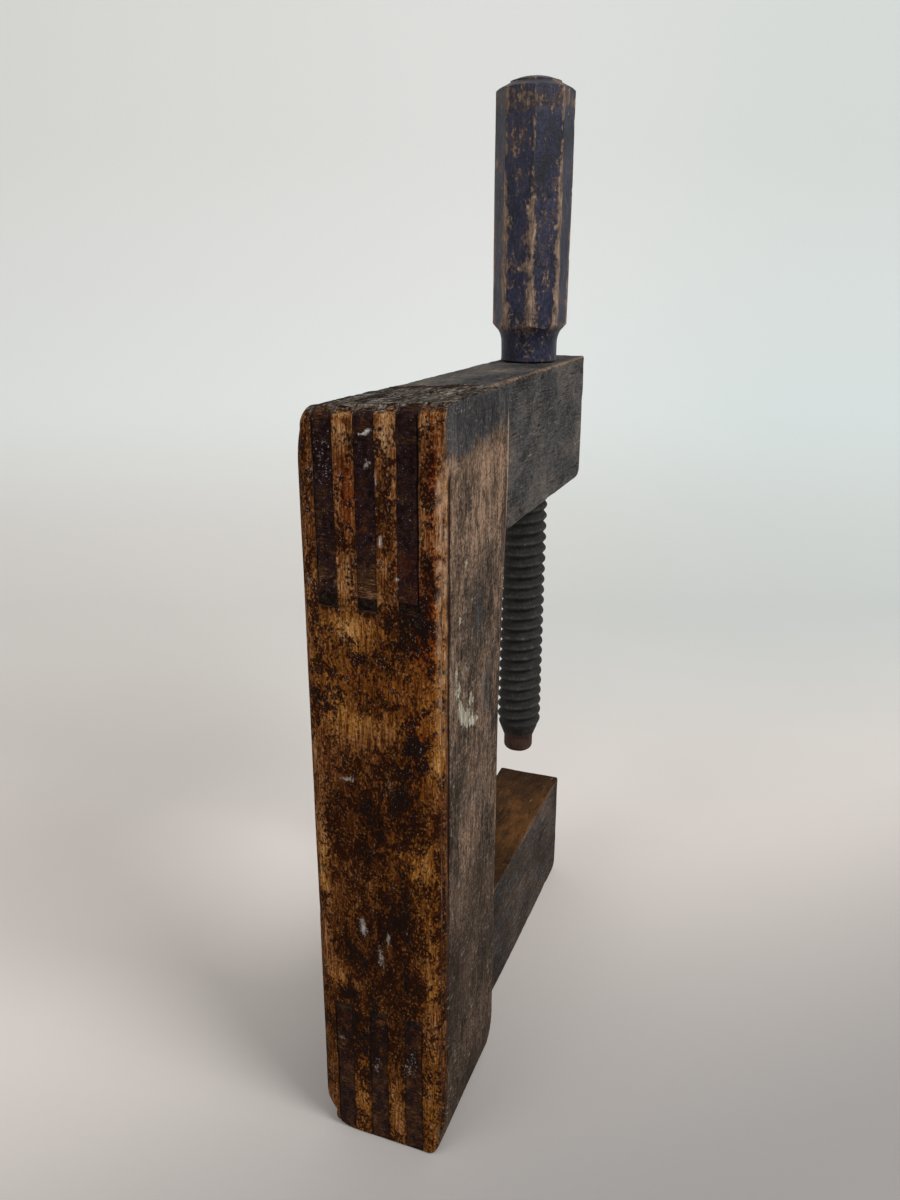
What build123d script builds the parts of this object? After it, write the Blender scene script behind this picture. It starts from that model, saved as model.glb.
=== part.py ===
from build123d import *
import math
import os

# A wooden screw clamp: a thick upright post, two thinner arms comb-jointed into its ends,
# and a turned wooden screw with an octagonal handle that runs through the upper arm.
# Millimetres. +X runs from the post's back face towards the arm ends, +Z is up,
# and the origin is under the middle of the whole clamp, on the surface it stands on.

# Post
post_width = 60.0
post_depth = 71.0
post_height = 324.0
top_rise = 3.5
foot_round = 16.5
foot_wear_width = 7.5
foot_wear_height = 32.0
foot_wear_bulge = 1.5
shoulder_wear_width = 6.5
shoulder_wear_height = 21.0
back_left_round = 7.0
back_chamfer = 4.0
back_chamfer_drop = 22.0
top_wear_depth = 3.0
top_wear_length = 5.0
cheek_top_round = 17.0
cheek_heel_round = 5.0
back_chamfer_run_out = 16.0
throat_chamfer_depth = 7.0
throat_chamfer_width = 6.0
throat_chamfer_top = 190.0
throat_chamfer_run_out = 110.0
chamfer_end_share = 0.02

# Comb joints between the post and the arms, with the post's cheeks outside them
right_cheek = 10.7
left_cheek = 8.7
tenon_count = 3
slot_width = 8.0
glue_gap = 0.1
slot_overcut = 4.0

# Arms, whose right face is set in from the post's
arm_thickness = 38.3
arm_inset = 13.6
upper_arm_reach = 253.0
upper_arm_height = 69.0
lower_arm_reach = 233.0
lower_arm_height = 66.0
arm_end_chamfer = 4.0
arm_arris = 1.2

# Screw, with its axis square to the arms
screw_reach = 205.0
screw_diameter = 25.4
bore_clearance = 0.08
bore_ease = 1.0
screw_bottom = 107.0
screw_taper = 10.0
screw_tip_diameter = 17.8
handle_tenon_diameter = 18.0
handle_tenon_length = 74.0

# Shoe under the screw
shoe_diameter = 17.0
shoe_length = 9.7
shoe_round = 3.0
shoe_gap = 0.3
spigot_diameter = 10.0
spigot_length = 22.0
spigot_clearance = 0.05

# Handle
handle_gap = 0.3
neck_diameter = 29.4
neck_length = 8.0
flare_diameter = 32.8
flare_height = 7.4
cove_bow = 0.25
cove_sag = 0.4
grip_across_corners = 39.6
grip_sides = 8
grip_turn = 16.0
grip_lower_bevel = 3.8
grip_length = 108.4
grip_upper_bevel = 3.6
button_diameter = 25.5
button_step = 0.6
button_dome = 2.6

# How far a cutting shape runs past the face that it cuts
overshoot = 1.0

# Places worked out from the sizes above
back = -upper_arm_reach / 2
inner = back + post_depth
right = -post_width / 2
left = post_width / 2
comb_right = right + right_cheek
comb_left = left - left_cheek
arm_middle = right + arm_inset + arm_thickness / 2
post_top = post_height + top_rise
through_post = (back - overshoot, inner + overshoot)
upper_underside = post_height - upper_arm_height
screw_x = back + screw_reach
screw_radius = screw_diameter / 2
bore_radius = screw_radius + bore_clearance
neck_bottom = post_height + handle_gap
grip_bottom = neck_bottom + neck_length + flare_height
finger_width = (comb_left - comb_right - tenon_count * slot_width) / (tenon_count - 1)
slot_middles = [comb_right + slot_width / 2 + k * (slot_width + finger_width) for k in range(tenon_count)]


def block(x_range, y_range, z_range):
    """A box between two corners, given as low and high values along each axis."""
    size = [high - low for low, high in (x_range, y_range, z_range)]
    middle = [(high + low) / 2 for low, high in (x_range, y_range, z_range)]
    return Pos(*middle) * Box(*size)


def post_section():
    """The post seen from behind: a top that slopes up to the right, and corners that wear has rounded."""
    wear_foot = (right + foot_wear_width, 0)
    wear_side = (right, foot_wear_height)
    wear_middle = (right + foot_wear_width / 2 - foot_wear_bulge, foot_wear_height / 2 - foot_wear_bulge)
    outline = [
        Line(wear_foot, (left - foot_round, 0)),
        CenterArc((left - foot_round, foot_round), foot_round, -90, 90),
        Line((left, foot_round), (left, post_height - shoulder_wear_height)),
        EllipticalCenterArc(
            (left - shoulder_wear_width, post_height - shoulder_wear_height),
            shoulder_wear_width,
            shoulder_wear_height,
            start_angle=0,
            arc_size=90,
        ),
        Line((left - shoulder_wear_width, post_height), (right, post_top)),
        Line((right, post_top), wear_side),
        ThreePointArc(wear_side, wear_middle, wear_foot),
    ]
    return Plane.YZ * make_face(outline)


def post_envelope():
    """The whole post before its joints are cut, with its back arrises eased."""
    solid = extrude(Pos(back, 0, 0) * post_section(), amount=post_depth, dir=(1, 0, 0))
    corner = block(
        (back - overshoot, back + back_left_round),
        (left - back_left_round, left + overshoot),
        (-overshoot, post_top + overshoot),
    )
    corner_core = Pos(back + back_left_round, left - back_left_round, post_top / 2)
    corner_core *= Cylinder(back_left_round, post_top + 4 * overshoot)
    solid -= corner - corner_core
    chamfer_top = post_height - back_chamfer_drop
    solid -= stopped_chamfer(back, right, back_chamfer, back_chamfer, chamfer_top, back_chamfer_run_out)
    worn_top = Plane.XZ * Polygon(
        (back, post_top + overshoot),
        (back + top_wear_length, post_top + overshoot),
        (back + top_wear_length, post_top),
        (back, post_top - top_wear_depth),
        align=None,
    )
    return solid - extrude(worn_top, amount=post_width, both=True)


def stopped_chamfer(corner_x, corner_y, depth, width, high, run_out):
    """The waste of a chamfer up an upright arris from the foot, running out over some length above it."""
    inward_x = 1 if corner_x < (back + inner) / 2 else -1
    inward_y = 1 if corner_y < 0 else -1
    outside_x = inward_x * overshoot * depth / width
    outside_y = inward_y * overshoot

    def triangle(height, share):
        points = [
            (corner_x + inward_x * depth * share + outside_x, corner_y - outside_y),
            (corner_x - outside_x, corner_y + inward_y * width * share + outside_y),
            (corner_x - outside_x, corner_y - outside_y),
        ]
        return Pos(0, 0, height) * make_face(Polyline(*points, close=True))

    run = extrude(triangle(-overshoot, 1), amount=high + overshoot, dir=(0, 0, 1))
    return run + loft([triangle(high, 1), triangle(high + run_out, chamfer_end_share)])


def rounded_corner_waste(y_range, corner_z, radius, up):
    """What comes off a cheek's inner corner when it is rounded in the plane of the clamp."""
    middle_z = corner_z - up * radius
    outer_z = corner_z + up * overshoot
    tool = block((inner - radius, inner + overshoot), y_range, sorted((middle_z, outer_z)))
    length = y_range[1] - y_range[0] + 2 * overshoot
    core = Pos(inner - radius, sum(y_range) / 2, middle_z) * Rot(90, 0, 0) * Cylinder(radius, length)
    return tool - core


def make_post():
    post = post_envelope()
    for middle in slot_middles:
        side = (middle - slot_width / 2, middle + slot_width / 2)
        post -= block(through_post, side, (upper_underside - slot_overcut, post_top + overshoot))
        post -= block(through_post, side, (-overshoot, lower_arm_height + slot_overcut))
    right_side = (right - overshoot, comb_right)
    left_side = (comb_left, left + overshoot)
    post -= rounded_corner_waste(right_side, post_top, cheek_top_round, 1)
    post -= rounded_corner_waste(left_side, post_height, cheek_top_round, 1)
    for side in (right_side, left_side):
        post -= rounded_corner_waste(side, 0, cheek_heel_round, -1)
    throat_chamfer = (throat_chamfer_depth, throat_chamfer_width, throat_chamfer_top, throat_chamfer_run_out)
    for side in (right, left):
        post -= stopped_chamfer(inner, side, *throat_chamfer)
    return post


def make_arm(reach, low, high, tenon_high):
    """An arm with its three tenons, which fill the slots and end flush with the post's back and top."""
    root = inner + glue_gap
    end = back + reach
    outline = Polygon(
        (root, low), (end - arm_end_chamfer, low), (end, low + arm_end_chamfer), (end, high), (root, high),
        align=None,
    )
    arm = extrude(Pos(0, arm_middle, 0) * (Plane.XZ * outline), amount=arm_thickness / 2, both=True)
    exposed = [edge for edge in arm.edges() if edge.center().X > root + overshoot]
    long_arrises = [edge for edge in exposed if abs(edge.tangent_at(0.5).Y) < 0.5]
    arm = chamfer(long_arrises, arm_arris)
    shoulder = block((inner - overshoot, inner + overshoot), (right, left), (low, high))
    trim = post_envelope() + shoulder
    for middle in slot_middles:
        half = slot_width / 2 - glue_gap
        tenon = block((back, root), (middle - half, middle + half), (low, tenon_high))
        arm += tenon & trim
    return arm


def make_upper_arm():
    arm = make_arm(upper_arm_reach, upper_underside, post_height, post_top)
    bore_middle = Pos(screw_x, arm_middle, upper_underside + upper_arm_height / 2)
    arm -= bore_middle * Cylinder(bore_radius, upper_arm_height + 2 * overshoot)
    for face_z, turn in ((post_height, 180), (upper_underside, 0)):
        mouth = Pos(screw_x, arm_middle, face_z) * Rot(turn, 0, 0)
        arm -= mouth * Pos(0, 0, bore_ease / 2) * Cone(bore_radius + bore_ease, bore_radius, bore_ease)
    return arm


def turned(points):
    """A turned piece: half of its outline, as radius and height, spun about the screw's axis."""
    half = Plane.XZ * make_face(Polyline(*points, close=True))
    return Pos(screw_x, arm_middle, 0) * revolve(half, Axis.Z)


def make_screw():
    tip_radius = screw_tip_diameter / 2
    tenon_radius = handle_tenon_diameter / 2
    tenon_top = neck_bottom + handle_tenon_length
    socket_radius = spigot_diameter / 2 + spigot_clearance
    socket_top = screw_bottom + spigot_length
    return turned([
        (socket_radius, screw_bottom),
        (tip_radius, screw_bottom),
        (screw_radius, screw_bottom + screw_taper),
        (screw_radius, neck_bottom),
        (tenon_radius, neck_bottom),
        (tenon_radius, tenon_top),
        (0, tenon_top),
        (0, socket_top),
        (socket_radius, socket_top),
    ])


def make_shoe():
    top = screw_bottom - shoe_gap
    bottom = top - shoe_length
    radius = shoe_diameter / 2
    spigot = spigot_diameter / 2
    body = turned([
        (0, bottom),
        (radius, bottom),
        (radius, top),
        (spigot, top),
        (spigot, top + spigot_length),
        (0, top + spigot_length),
    ])
    rim = body.edges().group_by(Axis.Z)[0]
    return fillet(rim, shoe_round)


def make_handle():
    neck = neck_diameter / 2
    flare = flare_diameter / 2
    corner = grip_across_corners / 2
    button = button_diameter / 2
    socket = handle_tenon_diameter / 2 + glue_gap
    grip_top = grip_bottom + grip_lower_bevel + grip_length
    button_base = grip_top + grip_upper_bevel
    dome_edge = button_base + button_step
    dome_top = dome_edge + button_dome
    cove_middle = (neck + (flare - neck) * cove_bow, grip_bottom - flare_height * cove_sag)
    dome_radius = (button**2 + button_dome**2) / (2 * button_dome)
    half_angle = math.asin(button / dome_radius) / 2
    dome_middle = (dome_radius * math.sin(half_angle), dome_top - dome_radius * (1 - math.cos(half_angle)))
    blank = corner + overshoot
    lower_edge = grip_bottom + grip_lower_bevel * (blank - flare) / (corner - flare)
    upper_edge = button_base - grip_upper_bevel * (blank - button) / (corner - button)
    outline = [
        Line((0, neck_bottom), (neck, neck_bottom)),
        Line((neck, neck_bottom), (neck, neck_bottom + neck_length)),
        ThreePointArc((neck, neck_bottom + neck_length), cove_middle, (flare, grip_bottom)),
        Line((flare, grip_bottom), (blank, lower_edge)),
        Line((blank, lower_edge), (blank, upper_edge)),
        Line((blank, upper_edge), (button, button_base)),
        Line((button, button_base), (button, dome_edge)),
        ThreePointArc((button, dome_edge), dome_middle, (0, dome_top)),
        Line((0, dome_top), (0, neck_bottom)),
    ]
    spun = revolve(Plane.XZ * make_face(outline), Axis.Z)
    octagon = Pos(0, 0, neck_bottom - overshoot) * Rot(0, 0, grip_turn) * RegularPolygon(corner, grip_sides)
    grip = spun & extrude(octagon, amount=dome_top - neck_bottom + 2 * overshoot, dir=(0, 0, 1))
    socket_top = neck_bottom + handle_tenon_length + glue_gap
    socket_middle = (neck_bottom - overshoot + socket_top) / 2
    grip -= Pos(0, 0, socket_middle) * Cylinder(socket, socket_top - neck_bottom + overshoot)
    return Pos(screw_x, arm_middle, 0) * grip


pieces = {
    "post": make_post(),
    "upper_arm": make_upper_arm(),
    "lower_arm": make_arm(lower_arm_reach, 0, lower_arm_height, lower_arm_height),
    "screw": make_screw(),
    "screw_shoe": make_shoe(),
    "handle": make_handle(),
}

os.makedirs("parts", exist_ok=True)
for name, piece in pieces.items():
    export_step(piece, f"parts/{name}.step")
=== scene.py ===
import math

import bmesh
import bpy
import numpy as np
from mathutils import Matrix, Vector


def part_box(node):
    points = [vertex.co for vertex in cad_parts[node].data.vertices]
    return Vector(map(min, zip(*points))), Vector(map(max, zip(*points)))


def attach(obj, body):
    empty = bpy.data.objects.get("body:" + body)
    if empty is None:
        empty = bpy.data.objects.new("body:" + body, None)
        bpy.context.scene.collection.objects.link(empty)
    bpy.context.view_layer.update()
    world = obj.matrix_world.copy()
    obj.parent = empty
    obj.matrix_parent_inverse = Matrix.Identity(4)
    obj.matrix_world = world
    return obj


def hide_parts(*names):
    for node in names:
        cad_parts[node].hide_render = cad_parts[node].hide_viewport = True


# An old wooden screw clamp: worn and stained timbers joined by combs, a threaded wooden
# screw and an octagonal handle with chipped dark blue paint.
# Metres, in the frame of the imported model: +X from the post's back towards the arm ends, +Z up.
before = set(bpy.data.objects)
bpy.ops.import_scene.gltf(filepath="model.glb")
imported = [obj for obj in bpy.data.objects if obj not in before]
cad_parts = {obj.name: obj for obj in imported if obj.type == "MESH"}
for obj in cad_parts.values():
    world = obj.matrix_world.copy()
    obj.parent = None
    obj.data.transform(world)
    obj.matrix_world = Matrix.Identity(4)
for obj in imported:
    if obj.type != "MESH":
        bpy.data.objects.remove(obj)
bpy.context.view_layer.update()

mm = 0.001
seed = 2605

# Camera and picture, from fitting the photo
focal_length = 29.10
sensor_long_side = 36.0
camera_place = Vector((-428.50, -146.91, 368.44)) * mm
camera_yaw = math.radians(20.918)
camera_pitch = math.radians(-18.685)
camera_roll = math.radians(0.155)

# Places that the frame gives
post_low, post_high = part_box("post")
upper_low, upper_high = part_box("upper_arm")
lower_low, lower_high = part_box("lower_arm")
screw_low, screw_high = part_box("screw")
shoe_low, shoe_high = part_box("screw_shoe")
handle_low, handle_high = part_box("handle")
back, inner = post_low.x, post_high.x
right, left = post_low.y, post_high.y
post_top = post_high.z
axis_x, axis_y = (screw_low.x + screw_high.x) / 2, (screw_low.y + screw_high.y) / 2

# Post
top_rise = 3.5 * mm
arm_top = post_top - top_rise
top_wear_depth = 3 * mm
top_wear_length = 5 * mm
shoulder_width = 6.5 * mm
shoulder_height = 21 * mm
back_round = 7 * mm
back_chamfer = 4 * mm
back_chamfer_top = arm_top - 22 * mm
back_chamfer_run_out = 16 * mm
throat_chamfer_depth = 7 * mm
throat_chamfer_width = 6 * mm
throat_chamfer_top = 190 * mm
throat_chamfer_run_out = 110 * mm
foot_round = 16.5 * mm
foot_wear_width = 7.5 * mm
foot_wear_height = 30 * mm
heel_round = 5 * mm
cheek_round = 17 * mm
top_slope_reach = 40 * mm

# Arms and their comb joints
glue_gap = 0.1 * mm
joint_looseness = 0.03 * mm
open_joint = 0.4 * mm
comb_right, comb_left = upper_low.y - glue_gap, left - 8.7 * mm
arm_right, arm_left = right + 13.6 * mm, upper_high.y
upper_underside = arm_top - 69 * mm
lower_arm_top = lower_high.z
arm_end_chamfer = 4 * mm
arm_side_reach = 14 * mm
foot_lift_reach = 20 * mm
tenon_count = 3
slot_width = 8 * mm
slot_overcut = 4 * mm
finger_width = (comb_left - comb_right - tenon_count * slot_width) / (tenon_count - 1)
slot_middles = [comb_right + slot_width / 2 + k * (slot_width + finger_width) for k in range(tenon_count)]
past_face = 3 * mm

# Screw: one turn of the thread is the travel of one turn of the coupled joints
thread_pitch = 6.2 * mm
thread_depth = 2.0 * mm
screw_radius = (screw_high.x - screw_low.x) / 2
tip_radius = 8.9 * mm
taper_length = 10 * mm
spigot_radius = 5 * mm
spigot_socket = 5.05 * mm
spigot_length = 22 * mm
shoe_gap = 0.3 * mm
shoe_rim = 3 * mm

# Handle
neck_radius = 14.7 * mm
neck_length = 8 * mm
flare_radius = 16.4 * mm
flare_height = 7.4 * mm
cove_power = 2.7
grip_corner = 19.8 * mm
grip_sides = 8
grip_turn = math.radians(16)
grip_lower_bevel = 3.8 * mm
grip_length = 108.4 * mm
grip_upper_bevel = 3.6 * mm
button_radius = 12.75 * mm
button_step = 0.6 * mm
button_dome = 2.6 * mm
handle_tenon_radius = 9 * mm
handle_looseness = 0.1 * mm
grip_base = handle_low.z + neck_length + flare_height


# Meshes as arrays

def steps(low, high, coarse):
    """Positions from low to high, closer together near both ends, where the arrises are worn."""
    fine, rim = 0.4 * mm, 2.4 * mm
    near = np.arange(0, rim, fine)
    count = max(2, round((high - low - 2 * rim) / coarse) + 1)
    return np.concatenate([low + near, np.linspace(low + rim, high - rim, count), (high - near)[::-1]])


def grid_box(xs, ys, zs):
    """The closed skin of a box, as points and quads, over the given positions along each axis."""
    shape = (len(xs), len(ys), len(zs))
    i, j, k = np.indices(shape)
    skin = (i == 0) | (i == shape[0] - 1) | (j == 0) | (j == shape[1] - 1) | (k == 0) | (k == shape[2] - 1)
    number = np.full(shape, -1)
    number[skin] = np.arange(skin.sum())
    points = np.stack([xs[i[skin]], ys[j[skin]], zs[k[skin]]], 1)
    faces = []
    for axis in range(3):
        for end in (0, -1):
            sheet = np.take(number, end, axis=axis)
            quads = np.stack([sheet[:-1, :-1], sheet[1:, :-1], sheet[1:, 1:], sheet[:-1, 1:]], -1)
            outward = (end == -1) != (axis == 1)
            faces.append(quads.reshape(-1, 4)[:, ::1 if outward else -1])
    return points, np.concatenate(faces)


def noise(points, size, number, stretch=(1, 1, 1)):
    """Smooth noise from -1 to 1 over an array of points, with cells of a size in millimetres."""
    lattice = 32
    beyond_zero = 1000.5
    table = np.random.default_rng(number).uniform(-1, 1, (lattice, lattice, lattice))
    scaled = points / (size * mm * np.array(stretch, float)) + beyond_zero
    cell = np.floor(scaled).astype(int)
    part = scaled - cell
    part = part * part * (3 - 2 * part)
    total = np.zeros(len(points))
    for corner in np.ndindex(2, 2, 2):
        weight = np.prod(np.where(corner, part, 1 - part), axis=1)
        index = (cell + corner) % lattice
        total += weight * table[index[:, 0], index[:, 1], index[:, 2]]
    return total


def hollows(points, deep, size, number, stretch=(1, 1, 1)):
    """Depths that vary from 0 to twice a mean, both the mean and the size in millimetres."""
    return deep * mm * (1 + noise(points, size, number, stretch))


def rise(value, low, high):
    """0 below low, 1 above high, smooth between."""
    share = np.clip((value - low) / (high - low), 0, 1)
    return share * share * (3 - 2 * share)


def fall(value, low, high):
    """1 below low, 0 above high, smooth between."""
    return rise(-value, -high, -low)


def mesh_object(name, points, faces):
    mesh = bpy.data.meshes.new(name)
    mesh.from_pydata(np.asarray(points).tolist(), [], np.asarray(faces).tolist())
    made = bpy.data.objects.new(name, mesh)
    bpy.context.scene.collection.objects.link(made)
    return made


def joined(name, skins):
    """One object from several skins, each given as points and faces."""
    all_points, all_faces, total = [], [], 0
    for points, faces in skins:
        all_points.append(points)
        all_faces.append(faces + total)
        total += len(points)
    return mesh_object(name, np.concatenate(all_points), np.concatenate(all_faces))


def surface_of(made):
    """The places and the normals of a piece's vertices."""
    both = []
    for kind in ("co", "normal"):
        values = np.zeros(len(made.data.vertices) * 3)
        made.data.vertices.foreach_get(kind, values)
        both.append(values.reshape(-1, 3))
    return both


def move_points(made, points):
    made.data.vertices.foreach_set("co", np.asarray(points, np.float32).ravel())
    made.data.update()


def set_masks(made, **masks):
    """Keeps values per vertex, which the material reads by name."""
    for name, values in masks.items():
        attribute = made.data.attributes.new(name, "FLOAT", "POINT")
        shares = np.broadcast_to(np.clip(values, 0, 1), len(made.data.vertices))
        attribute.data.foreach_set("value", shares.astype(np.float32))


def soften(made, rounds, share=0.5):
    """Averages each vertex with its neighbours, as handling rounds an edge."""
    ends = np.zeros(len(made.data.edges) * 2, int)
    made.data.edges.foreach_get("vertices", ends)
    first, second = ends.reshape(-1, 2).T
    both = np.r_[first, second]
    points, _ = surface_of(made)
    count = np.bincount(both, minlength=len(points))
    for _ in range(rounds):
        for axis in range(3):
            across = np.r_[points[second, axis], points[first, axis]]
            mean = np.bincount(both, across, len(points)) / count
            points[:, axis] += share * (mean - points[:, axis])
    move_points(made, points)


def cut(made, cutter):
    """Takes the cutter's closed shells out of the piece and removes the cutter."""
    step = made.modifiers.new("cut", "BOOLEAN")
    step.operation = "DIFFERENCE"
    step.solver = "EXACT"
    step.object = cutter
    bpy.context.view_layer.update()
    changed = bpy.data.meshes.new_from_object(made.evaluated_get(bpy.context.evaluated_depsgraph_get()))
    made.modifiers.clear()
    old = made.data
    made.data = changed
    bpy.data.meshes.remove(old)
    bpy.data.objects.remove(cutter)


def shade(made, angle=40):
    made.data.shade_smooth()
    made.data.set_sharp_from_angle(angle=math.radians(angle))


# Shape and wear of the timbers. The round, press and move functions change the points that they are given.

def round_arrises(points, low, high, radius):
    """Rounds all twelve edges of a box skin; radius is one value, or one for each point."""
    low, high = np.array(low, float), np.array(high, float)
    middle, half = (low + high) / 2, (high - low) / 2
    radius = np.broadcast_to(np.asarray(radius, float), len(points))[:, None]
    offset = points - middle
    beyond = np.clip(np.abs(offset) - (half - radius), 0, None)
    length = np.linalg.norm(beyond, axis=1, keepdims=True)
    share = np.where(length > radius, radius / np.maximum(length, 1e-9), 1)
    points[:] = middle + np.sign(offset) * (np.minimum(np.abs(offset), half - radius) + beyond * share)


def press_round(points, axes, centre, radii, chosen=True, outline=np.hypot):
    """Rounds one corner, seen along the third axis, to a quarter of an ellipse with signed radii.
    The outline can be another function of the two distances from the centre."""
    u = (points[:, axes[0]] - centre[0]) / radii[0]
    v = (points[:, axes[1]] - centre[1]) / radii[1]
    corner = (u > 0) & (v > 0) & chosen
    # Squares around the centre become the outline, so nothing folds
    factor = np.where(corner, np.maximum(u, v) / np.maximum(outline(u, v), 1e-9), 1)
    points[:, axes[0]] = centre[0] + u * factor * radii[0]
    points[:, axes[1]] = centre[1] + v * factor * radii[1]


def press_chamfer(points, axes, corner, sizes, share=1.0):
    """Chamfers one corner, seen along the third axis. Signed sizes point inwards; share makes it run out."""
    first, second = sizes[0] * share, sizes[1] * share
    centre = (corner[0] + first, corner[1] + second)
    press_round(points, axes, centre, (-first, -second), outline=np.add)


def run_out(points, high, length):
    """Share of an upright chamfer's size, which fades out above a height but never gets to 0."""
    least = 0.02
    return np.clip(1 - (points[:, 2] - high) / length, least, 1)


def sloping_top(points):
    """Height of the post's top, which slopes up to the right."""
    return arm_top + top_rise * (left - shoulder_width - points[:, 1]) / (left - shoulder_width - right)


def move_face(points, axis, face, amount, over):
    """Shifts one face of a skin along an axis, graded over some depth so that nothing folds."""
    share = np.clip(1 - np.abs(points[:, axis] - face) / over, 0, 1)
    points[:, axis] += share * amount


def chipped_radius(points, plain, number, chips):
    """An arris radius that varies along the piece and grows where chips came off."""
    radius = plain * (1 + 0.4 * noise(points, 12, number))
    radius += chips * rise(noise(points, 8, number + 3), 0.3, 0.85)
    return radius + 0.6 * chips * rise(noise(points, 3.5, number + 4), 0.3, 0.9)


def arris_nearness(points, low, high, reach):
    """1 on a box's edges, falling to 0 at about the given distance from them."""
    gaps = np.minimum(points - np.array(low), np.array(high) - points)
    second = np.sort(gaps, axis=1)[:, 1]
    return np.exp(-(np.clip(second, 0, None) / reach) ** 2)


def wear_surface(made, low, high, grain, number):
    """Old timber's relief: hollows, ridges along the grain and dents."""
    points, normals = surface_of(made)
    # Tenons fit closely, so only their ends and tops are worn
    in_joint = (grain == 0) & (points[:, 0] < inner)
    shown = np.where(in_joint, np.maximum(-normals[:, 0], normals[:, 2]).clip(0, 1), 1)
    stretch = [1, 1, 1]
    stretch[grain] = 9
    depth = hollows(points, 0.16, 34, seed)
    depth += hollows(points, 0.05, 9, seed + 1, stretch)
    depth += hollows(points, 0.035, 1.7, number + 2, stretch)
    dents = 60
    rng = np.random.default_rng(number)
    for _ in range(dents):
        centre = rng.uniform(low, high)
        side = rng.integers(3)
        centre[side] = (low, high)[rng.integers(2)][side]
        size = rng.uniform(0.8, 2.6) * mm
        distance = np.linalg.norm(points - centre, axis=1)
        depth += rng.uniform(0.1, 0.35) * mm * np.exp(-(distance / size) ** 2)
    points -= normals * (depth * shown)[:, None]
    # The post's top is weathered rough, with cracks across it
    level = points * (1, 1, 0)
    rough = 0.9 + noise(level, 2.6, seed + 6, (1, 5, 1))
    rough += noise(level, 1.2, seed + 7, (1, 4, 1)) / 2
    share = rise(points[:, 2], arm_top - 10 * mm, arm_top) * (points[:, 0] < inner)
    points[:, 2] -= share * 0.3 * mm * np.clip(rough, 0, 2)
    move_points(made, points)


def weathered_top(points, normals):
    """1 on the rough top of the post and of the tenons in it."""
    facing = rise(normals[:, 2], 0.5, 0.9)
    high = rise(points[:, 2], arm_top - 12 * mm, arm_top - 4 * mm)
    return facing * high * fall(points[:, 0], inner - 2 * mm, inner + 2 * mm)


def sunk_back_ends(made, depth):
    """Sets the tenons' end grain a little below the post's back, as shrinking wood leaves it."""
    points, _ = surface_of(made)
    at_back = fall(points[:, 0], back + 1 * mm, back + 3 * mm)
    points[:, 0] += at_back * depth * (1 + 0.6 * noise(points, 9, seed + 8))
    move_points(made, points)


def wander(points):
    """How far the sawn joint lines stray sideways; the tenons and their slots follow it together."""
    coarse = noise(points, 13, seed + 9, (3, 2, 1))
    fine = noise(points, 4, seed + 10, (3, 2, 1))
    return (0.32 * coarse + 0.10 * fine) * mm


def saw_cuts(name, openings, x_high, number):
    """Cutters for comb joints, from (y_low, y_high, z_low, z_high) openings, with walls a little uneven."""
    skins = []
    for y_low, y_high, z_low, z_high in openings:
        points, faces = grid_box(
            np.linspace(back - 2 * mm, x_high, 24),
            np.linspace(y_low, y_high, 5),
            np.linspace(z_low, z_high, 30),
        )
        side = np.where(points[:, 1] > (y_low + y_high) / 2, 1, -1)
        points[:, 1] += side * hollows(points, 0.05, 5, number)
        points[:, 1] += wander(points)
        points[:, 2] += 0.9 * mm * noise(points, 3, number + 1)
        skins.append((points, faces))
    return joined(name, skins)


def timber_skin(low, high, spacing):
    """A box skin between two corners, with its points spaced by millimetres along each axis."""
    return grid_box(*(steps(start, end, coarse * mm) for start, end, coarse in zip(low, high, spacing)))


def build_post():
    low, high = np.array(post_low), np.array(post_high)
    points, faces = timber_skin(low, high, (1.35, 1.15, 1.35))
    round_arrises(points, low, high, chipped_radius(points, 1 * mm, seed, 1.6 * mm))
    press_round(points, (0, 1), (back + back_round, left - back_round), (-back_round, back_round))
    share = run_out(points, back_chamfer_top, back_chamfer_run_out)
    press_chamfer(points, (0, 1), (back, right), (back_chamfer, back_chamfer), share)
    share = run_out(points, throat_chamfer_top, throat_chamfer_run_out)
    for side, width in ((right, throat_chamfer_width), (left, -throat_chamfer_width)):
        press_chamfer(points, (0, 1), (inner, side), (-throat_chamfer_depth, width), share)
    cheek = (points[:, 1] < comb_right) | (points[:, 1] > comb_left)
    cheek_middle = (inner - cheek_round, post_top - cheek_round)
    press_round(points, (0, 2), cheek_middle, (cheek_round, cheek_round), cheek)
    press_round(points, (0, 2), (inner - heel_round, heel_round), (heel_round, -heel_round), cheek)
    press_round(points, (1, 2), (left - foot_round, foot_round), (foot_round, -foot_round))
    foot_wear = (-foot_wear_width, -foot_wear_height)
    press_round(points, (1, 2), (right + foot_wear_width, foot_wear_height), foot_wear)
    press_chamfer(points, (0, 2), (back, post_top), (top_wear_length, -top_wear_depth))
    move_face(points, 2, post_top, np.minimum(sloping_top(points) - post_top, 0), top_slope_reach)
    shoulder = (left - shoulder_width, arm_top - shoulder_height)
    press_round(points, (1, 2), shoulder, (shoulder_width, shoulder_height))
    post = mesh_object("post_timber", points, faces)
    soften(post, 2)
    wear_surface(post, low, high, 2, seed + 100)
    half = slot_width / 2 + joint_looseness
    lower_ends = (-past_face, lower_arm_top + slot_overcut)
    upper_ends = (upper_underside - slot_overcut, post_top + past_face)
    slots = [
        (middle - half, middle + half, *ends)
        for ends in (lower_ends, upper_ends)
        for middle in slot_middles
    ]
    # The glue line right of the upper right tenon has opened
    slots[tenon_count] = (slots[tenon_count][0] - open_joint, *slots[tenon_count][1:])
    cut(post, saw_cuts("post_slots", slots, inner + past_face, 40))
    shade(post)
    return post


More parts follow.
